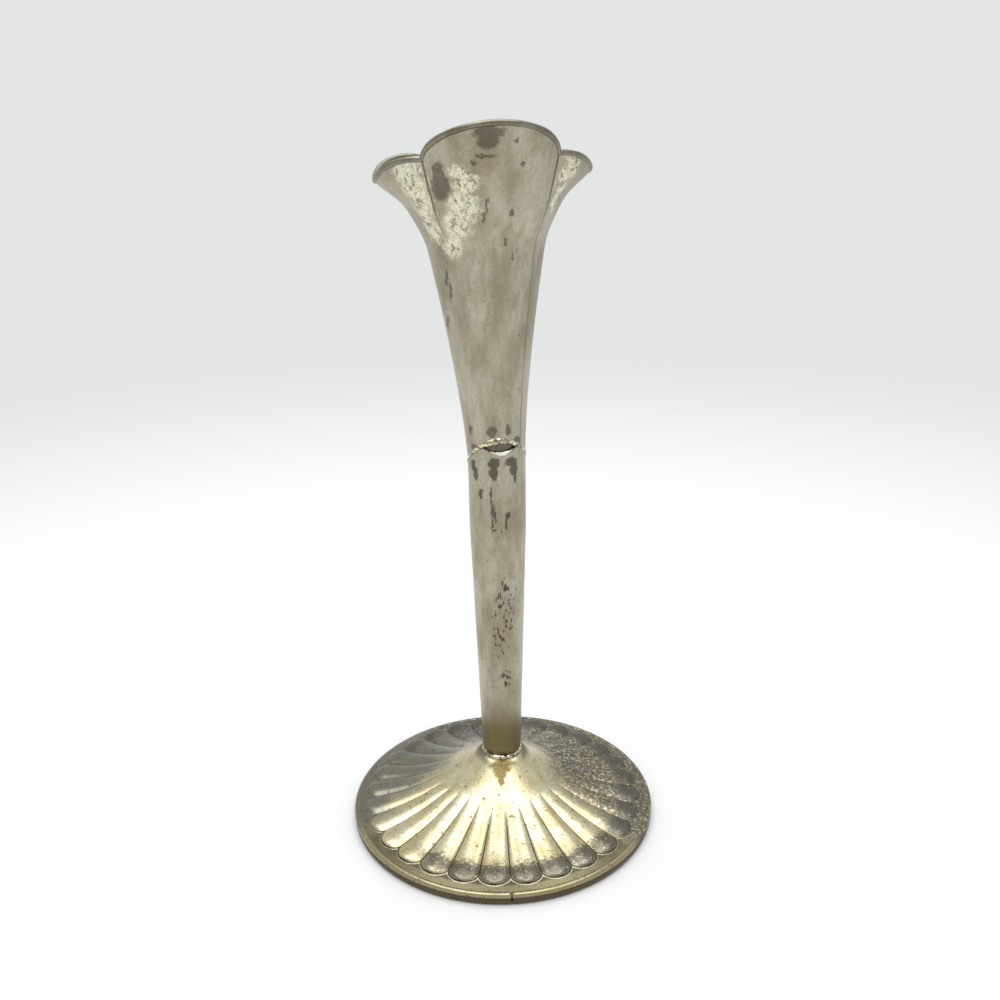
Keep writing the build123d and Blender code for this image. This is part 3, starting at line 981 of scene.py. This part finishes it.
TRUMPET_STAINS = [
    ((-12.7, -15.2, 162.4), (2.1, 3.0, 2.9)),
    ((-13.2, -16.0, 165.4), (1.2, 2.0, 2.6)),
    ((-3.5, -22.9, 172.9), (3.2, 2.0, 1.2)),
    ((-3.6, -22.3, 171.2), (2.3, 2.0, 1.7)),
    ((-4.1, -21.2, 168.4), (2.2, 2.0, 0.32)),
    ((-6.5, -20.3, 167.1), (0.5, 1.5, 0.4)),
    ((2.0, -21.8, 171.2), (0.5, 1.5, 0.5)),
    ((3.7, -19.6, 166.7), (0.42, 1.5, 0.6)),
    ((1.9, -16.4, 157.0), (0.6, 1.5, 0.7)),
    ((-3.5, -17.3, 158.6), (0.3, 1.5, 1.7)),
    ((-4.1, -16.4, 156.2), (0.28, 1.5, 1.4)),
    ((0.9, -13.8, 150.8), (0.3, 1.5, 0.9)),
    ((2.4, -12.4, 147.6), (0.3, 1.5, 0.8)),
    ((-11.4, -7.2, 143.0), (0.28, 1.5, 2.4)),
    ((-10.6, -7.5, 139.5), (0.28, 1.5, 2.6)),
    ((-11.0, -3.5, 132.0), (0.28, 1.5, 3.0)),
    ((-2.0, -7.2, 107.3), (1.2, 1.5, 1.5)),
    ((-6.5, -4.0, 107.2), (0.4, 1.5, 1.1)),
    ((1.8, -7.2, 107.6), (0.5, 1.5, 1.4)),
    ((4.1, -5.9, 104.7), (0.8, 1.5, 1.0)),
    ((-6.0, -4.4, 103.0), (0.8, 1.5, 1.0)),
]
dress(trumpet, silver_plate("plate_trumpet", TRUMPET_HIGHLIGHT_PATCHES, TRUMPET_STAINS, valleys=True))

# %% [markdown]
# ## Marks on the stem
# The stem has a row of dark stains just under the joint, with thin runs below them, and a cluster of
# pits lower down.

# %% Marks on the stem
STEM_STAINS = [
    ((-6.1, -3.3, 98.4), (0.8, 1.2, 1.3)),
    ((-5.7, -4.0, 96.6), (0.5, 1.2, 1.9)),
    ((-1.7, -6.7, 99.4), (1.5, 1.5, 1.5)),
    ((-1.65, -6.7, 97.2), (1.05, 1.5, 2.0)),
    ((2.6, -6.4, 99.6), (1.8, 1.5, 1.1)),
    ((3.1, -6.2, 98.0), (1.1, 1.5, 1.8)),
    ((3.4, -6.1, 96.0), (0.45, 1.5, 1.9)),
    ((-2.4, -6.5, 91.5), (0.26, 1.5, 2.6)),
    ((-2.2, -6.6, 87.6), (0.26, 1.5, 1.8)),
    ((-1.6, -6.8, 86.6), (0.26, 1.5, 2.2)),
    ((-2.3, -6.5, 84.0), (0.24, 1.5, 1.8)),
    ((-1.8, -6.7, 82.6), (0.75, 1.5, 0.26)),
    ((1.6, -6.8, 86.4), (0.7, 1.5, 0.9)),
    ((1.1, -6.9, 84.4), (0.3, 1.5, 1.9)),
    ((-4.7, -5.1, 91.8), (0.35, 1.5, 1.4)),
]
STEM_CLUSTER = [
    ((0.6, -6.2, 62.0), (2.8, 3.0, 9.0)),
    ((-1.0, -5.9, 53.0), (2.6, 3.0, 6.0)),
    ((0.4, -5.6, 42.0), (1.6, 3.0, 4.0)),
]
dress(stem_tube, silver_plate("plate_stem", (), STEM_STAINS, STEM_CLUSTER, foot_reflection=True, depth=0.95))

# %% [markdown]
# ## Worn gold of the foot
# The foot's plate has worn to a pale gold, clean at the front, with a grey film at the back left and a
# dark, pitted film on the right. Masks could be painted on a map of the foot. Slopes across x and y do
# it in three lines.

# %% Worn gold of the foot
GOLD_DEEP = (0.53, 0.46, 0.26)
GOLD_PALE = (0.63, 0.58, 0.40)
GOLD_RUBBED = (0.76, 0.72, 0.54)
FILM_GREY = (0.185, 0.178, 0.145)
FILM_DARK = (0.12, 0.107, 0.085)
FILM_FLECKS = (0.60, 0.58, 0.49)


def worn_gold(p, fine, slow):
    """Pale gold in slow patches, lighter in the fine grain."""
    gold = p.mix(p.ramp(slow, 0.38, 0.62), GOLD_DEEP, GOLD_PALE)
    return p.coat(gold, GOLD_RUBBED, p.ramp(fine, 0.5, 0.7), 0.5)


def side_films(p, colour, radius, pits, wander):
    """The colour under its films, the share of dark film, and how clean the gold still is."""
    x, y, _ = p.axes()
    away = p.ramp(p.plus(radius, p.times(wander, 0.4)), 9.0, 16.0)
    right = p.times(p.ramp(p.plus(p.line(y, 0.75, x), wander), 1.0, 16.0), away)
    left = p.times(p.ramp(p.plus(p.line(x, -0.75, y), wander), 10.0, 26.0), away)
    colour = p.coat(colour, FILM_GREY, left, 0.92)
    tarnish = p.times(right, p.rest(p.ramp(pits, 0.50, 0.60)))
    colour = p.coat(colour, FILM_DARK, tarnish, 0.93)
    colour = p.mix(p.times(right, p.ramp(pits, 0.56, 0.66)), colour, FILM_FLECKS)
    return colour, tarnish, p.line(p.most(left, right), -0.75, 1.0)


# %% [markdown]
# ## Dirt and painted light on the flutes
# Grime has settled in the grooves, the noses have gone dark, and the band beyond them is brown with a
# fine bright line along each nose, a painted highlight. Pointiness could find the grooves, but it depends
# on the mesh. The angle and the distance from the axis give `edge` instead, which is 0 on a flute's crest
# and 1 on its outline. A brown drip runs down from the stem, and a painted shadow darkens the crown at both
# sides of the stem.

# %% Dirt and painted light on the flutes
NOSE_DARK = (0.105, 0.097, 0.083)
BAND_BROWN = (0.118, 0.102, 0.058)
# Bright line of the painted highlight along each nose.
NOSE_GLINT = (0.56, 0.53, 0.41)
DRIP_BROWN = (0.13, 0.1, 0.036)
FOOT_DRIP = [
    ((-1.3, -6.4, 16.8), (3.6, 1.3, 1.2)),
    ((-1.4, -7.4, 15.9), (2.7, 1.3, 1.2)),
    ((-1.6, -8.5, 15.0), (1.7, 1.4, 1.2)),
    ((-1.7, -9.9, 14.1), (0.8, 1.6, 1.3)),
]
WHOLE_PITCHES = 60.0


def flute_edge(p, radius):
    """0 on a flute's crest, 1 on its outline and more beyond it."""
    x, y, _ = p.axes()
    pitches = FLUTE_COUNT / (2 * pi)
    cell = p.math("FRACT", p.line(p.math("ARCTAN2", y, x), pitches, WHOLE_PITCHES - SEAM_ANGLE * pitches))
    across = p.times(p.math("ABSOLUTE", p.minus(cell, 0.5)), 2.0)
    nose_run = p.math("DIVIDE", p.most(p.minus(radius, NOSE_START), 0.0), FLUTE_NOSE)
    return p.math("SQRT", p.line(across, across, p.times(nose_run, nose_run)))


def flute_dirt_and_painted_light(p, colour, radius, fine, pits, wander, clean):
    """The colour with dark noses, brown band, painted highlight glints and drip, and the grime of the
    grooves with a painted shadow beside the stem.
    """
    x, _, _ = p.axes()
    edge = flute_edge(p, radius)
    noses = p.ramp(p.plus(radius, p.line(pits, 9.0, -4.5)), 30.6, 32.6)
    noses = p.times(noses, p.rest(p.ramp(edge, 0.9, 1.0)), p.ramp(p.plus(x, wander), -31.0, -17.0))
    noses = p.times(noses, p.rest(p.ramp(fine, 0.56, 0.66)))
    colour = p.coat(colour, NOSE_DARK, noses, 0.88)
    colour = p.coat(colour, BAND_BROWN, p.times(p.ramp(edge, 1.0, 1.06), clean), 0.9)
    # Painted highlight: a thin bright line just outside each nose's outline.
    glint = p.times(p.strip(edge, (1.02, 1.06), (1.08, 1.14)), clean)
    glint = p.times(glint, p.ramp(radius, NOSE_START + 0.6, NOSE_START + 1.4))
    colour = p.coat(colour, NOSE_GLINT, glint, 0.6)
    drip = p.spots(FOOT_DRIP, wander=1.7, scale=0.9, soft=0.4)
    colour = p.coat(colour, DRIP_BROWN, drip, 0.95)
    groove = p.times(p.strip(edge, (0.92, 0.99), (1.01, 1.08)), clean)
    groove = p.times(groove, p.ramp(radius, FLUTE_START + 1.0, FLUTE_START + 5.0))
    # Painted shadow on the crown at both sides of the stem.
    stem_shadow_ring = p.times(p.rest(p.ramp(radius, 5.9, 7.8)), p.ramp(p.math("ABSOLUTE", x), 3.4, 5.4), 0.75)
    return colour, p.most(groove, stem_shadow_ring)


# %% [markdown]
# ## Finish of the foot and its border
# Foot and border share the worn gold and its films, so one function makes both. The border has no
# flutes: its bead is duller and its side is nearly black.

# %% Finish of the foot and its border
BORDER_GOLD = (0.22, 0.185, 0.10)
BORDER_SIDE = (0.08, 0.062, 0.04)
# Dark colour of grime, and of the painted shadow beside the stem.
GRIME_AND_SHADE = (0.06, 0.05, 0.035)


def border_bead_and_side(p, colour, fine, clean):
    """The colour of the bead, and a dark side below it."""
    _, _, z = p.axes()
    # The side below the bead is made darker towards the bottom.
    low = p.rest(p.ramp(p.line(fine, 0.8, z), 2.1, 3.0))
    colour = p.coat(colour, BORDER_GOLD, clean, 0.7)
    return p.coat(colour, BORDER_SIDE, low, 0.88)


def worn_foot(name, flutes=True):
    """Worn gold with its films, and the dirt, painted highlight and painted shadow of the flutes, or the
    bead and darker side of the border.
    """
    p = Paint(name)
    x, y, _ = p.axes()
    radius = p.math("SQRT", p.plus(p.times(x, x), p.times(y, y)))
    fine = p.noise(1.5, 8.0, roughness=0.7)
    slow = p.noise(0.16, 4.0)
    pits = p.noise(1.15, 8.0, shift=(11, 5, 0), roughness=0.74)
    wander = p.line(slow, 24.0, -12.0)
    colour, tarnish, clean = side_films(p, worn_gold(p, fine, slow), radius, pits, wander)
    settled = p.noise(0.7, 6.0, shift=(3, 21, 0), roughness=0.65)
    grime_and_shade = p.times(p.ramp(settled, 0.58, 0.67), 0.7)
    if flutes:
        colour, grooves_and_shadow = flute_dirt_and_painted_light(p, colour, radius, fine, pits, wander, clean)
        grime_and_shade = p.most(grime_and_shade, grooves_and_shadow)
    else:
        colour = border_bead_and_side(p, colour, fine, clean)
    colour = p.mix(grime_and_shade, colour, GRIME_AND_SHADE)
    roughness = p.line(p.most(tarnish, grime_and_shade), 0.2, p.line(fine, 0.2, 0.17))
    return p.finish(colour, 1.0, roughness, p.plus(fine, pits), 0.2)


dress(foot_dome, worn_foot("gold_foot"))
dress(foot_border, worn_foot("gold_border", flutes=False))

# %% [markdown]
# ## Finish of the solder
# Solder is bright where it was filed and dark where flux has burnt on. A fine noise sets the one
# against the other. At the joint's front left it is stained gold, and the pool in the gap is painted
# near white, a painted highlight.

# %% Finish of the solder
SOLDER_BURNT = (0.14, 0.11, 0.065)
SOLDER_FILED = (0.78, 0.74, 0.58)
SOLDER_BLOT = (0.15, 0.12, 0.07)
SOLDER_GOLD = (0.80, 0.73, 0.49)
# Near white of the pool in the gap: a painted highlight.
POOL_HIGHLIGHT = (0.93, 0.92, 0.85)
JOINT_GOLD = [((-3.4, -6.0, 103.6), (3.2, 2.5, 2.2))]
JOINT_POOL_HIGHLIGHT = [((0.7, -6.6, 101.6), (2.4, 1.8, 0.95))]


def solder_finish(name, dark, golden=(), pool_highlight=()):
    """Filed and burnt solder; dark is how strong its blots are."""
    p = Paint(name)
    fine = p.noise(1.4, 5.0)
    blot = p.ramp(p.noise(0.5, 4.0, shift=(2, 8, 0)), 0.42, 0.58)
    colour = p.mix(p.ramp(fine, 0.40, 0.56), SOLDER_BURNT, SOLDER_FILED)
    colour = p.coat(colour, SOLDER_BLOT, blot, dark)
    if golden:
        colour = p.coat(colour, SOLDER_GOLD, p.spots(golden), p.ramp(fine, 0.42, 0.55))
    # Near-white pool in the gap: a painted highlight.
    if pool_highlight:
        colour = p.coat(colour, POOL_HIGHLIGHT, p.spots(pool_highlight), 0.9)
    return p.finish(colour, 1.0, p.line(fine, 0.2, 0.1), fine, 0.35)


dress(joint_solder, solder_finish("solder_joint", 0.6, JOINT_GOLD, JOINT_POOL_HIGHLIGHT))
dress(foot_solder, solder_finish("solder_foot", 0.35))

# %% [markdown]
# ## Floor
# The photo is taken on a white sweep of paper. A bent sheet would do, but its bend shows in other
# views. This floor is flat, white round the vase, and goes over to the backdrop's light grey with
# distance, so no horizon shows.

# %% Floor
FLOOR_WHITE = (0.76, 0.76, 0.755)
BACKDROP = (0.775, 0.785, 0.785, 1.0)
FLOOR_SIZE = 8000.0
WHITE_TO = 170.0
GREY_FROM = 670.0

bpy.ops.object.select_all(action="DESELECT")
bpy.ops.mesh.primitive_plane_add(size=FLOOR_SIZE * MM)
floor = bpy.context.object
floor.name = "floor"
sweep = Paint("sweep")
far = sweep.ramp(sweep.length(sweep.place), WHITE_TO, GREY_FROM)
sweep.finish(sweep.mix(far, FLOOR_WHITE, (0.0, 0.0, 0.0)), 0.0, 0.9)
sweep.put(sweep.shader.inputs["Specular IOR Level"], 0.0)
sweep.put(sweep.shader.inputs["Emission Color"], BACKDROP)
sweep.put(sweep.shader.inputs["Emission Strength"], far)
dress(floor, sweep.material)

# %% [markdown]
# ## Tent of light
# The photo's light is soft and comes from all round, so the world is a bright tent. The camera, and
# reflections in the metal, see the backdrop's grey in its place. A sky image would light it too, but
# this needs no file.

# %% Tent of light
TENT_COLOUR = (0.97, 0.98, 1.0, 1.0)
TENT_STRENGTH = 0.75

world = bpy.data.worlds.new("studio")
bpy.context.scene.world = world
world.use_nodes = True
sky = world.node_tree
sky.nodes.clear()
seen = sky.nodes.new("ShaderNodeBackground")
seen.inputs["Color"].default_value = BACKDROP
tent = sky.nodes.new("ShaderNodeBackground")
tent.inputs["Color"].default_value = TENT_COLOUR
tent.inputs["Strength"].default_value = TENT_STRENGTH
path = sky.nodes.new("ShaderNodeLightPath")
choose = sky.nodes.new("ShaderNodeMixShader")
shown = choose.inputs[0]
for ray in ("Is Transmission Ray", "Is Glossy Ray", "Is Camera Ray"):
    either = sky.nodes.new("ShaderNodeMath")
    either.operation = "MAXIMUM"
    sky.links.new(either.outputs[0], shown)
    sky.links.new(path.outputs[ray], either.inputs[0])
    shown = either.inputs[1]
shown.default_value = 0.0
output = sky.nodes.new("ShaderNodeOutputWorld")
sky.links.new(tent.outputs[0], choose.inputs[1])
sky.links.new(seen.outputs[0], choose.inputs[2])
sky.links.new(choose.outputs[0], output.inputs["Surface"])

print(f"tent of light at strength {TENT_STRENGTH}")

# %% [markdown]
# ## Overhead light
# The bright crests of the flutes and the soft sheen on the crown come from above. A small lamp would give
# hard glints, so one soft light, as wide as it is high, hangs straight over the vase and shines down.

# %% Overhead light
OVERHEAD_PLACE = (-30.0, 0.0, 860.0)
OVERHEAD_SIZE = 860.0
OVERHEAD_POWER = 6.6

bpy.ops.object.light_add(type="AREA", location=Vector(OVERHEAD_PLACE) * MM)
overhead = bpy.context.object
overhead.name = "overhead"
overhead.data.size = OVERHEAD_SIZE * MM
overhead.data.energy = OVERHEAD_POWER
print(f"{overhead.name} light: {overhead.data.energy:.1f} W, {overhead.data.size:.2f} m wide")

# %% [markdown]
# ## Camera
# The camera stands close and looks down. It could be moved by eye until the picture agrees. Here its
# distance, height and turns were fitted to the foot's two ellipses and to the straight stem.

# %% Camera
CAMERA_AWAY = 239.6
CAMERA_HEIGHT = 173.8
CAMERA_PITCH = radians(19.72)
CAMERA_ROUND = radians(-8)
CAMERA_YAW = radians(-0.15)
CAMERA_ROLL = radians(-1.0)

camera = bpy.data.objects.new("camera", bpy.data.cameras.new("camera"))
bpy.context.collection.objects.link(camera)
camera.data.sensor_width = 36.0
camera.data.lens = 37.44
turn = Matrix.Rotation(CAMERA_ROUND + CAMERA_YAW, 4, "Z")
tilt = Matrix.Rotation(pi / 2 - CAMERA_PITCH, 4, "X")
roll = Matrix.Rotation(CAMERA_ROLL, 4, "Z")
stand = Vector((CAMERA_AWAY * sin(CAMERA_ROUND), -CAMERA_AWAY * cos(CAMERA_ROUND), CAMERA_HEIGHT)) * MM
camera.matrix_world = Matrix.Translation(stand) @ turn @ tilt @ roll
bpy.context.scene.camera = camera
bpy.context.scene.view_settings.view_transform = "Standard"
print(f"camera: {camera.data.lens:.1f} mm lens, {stand.length:.3f} m from the foot's middle")
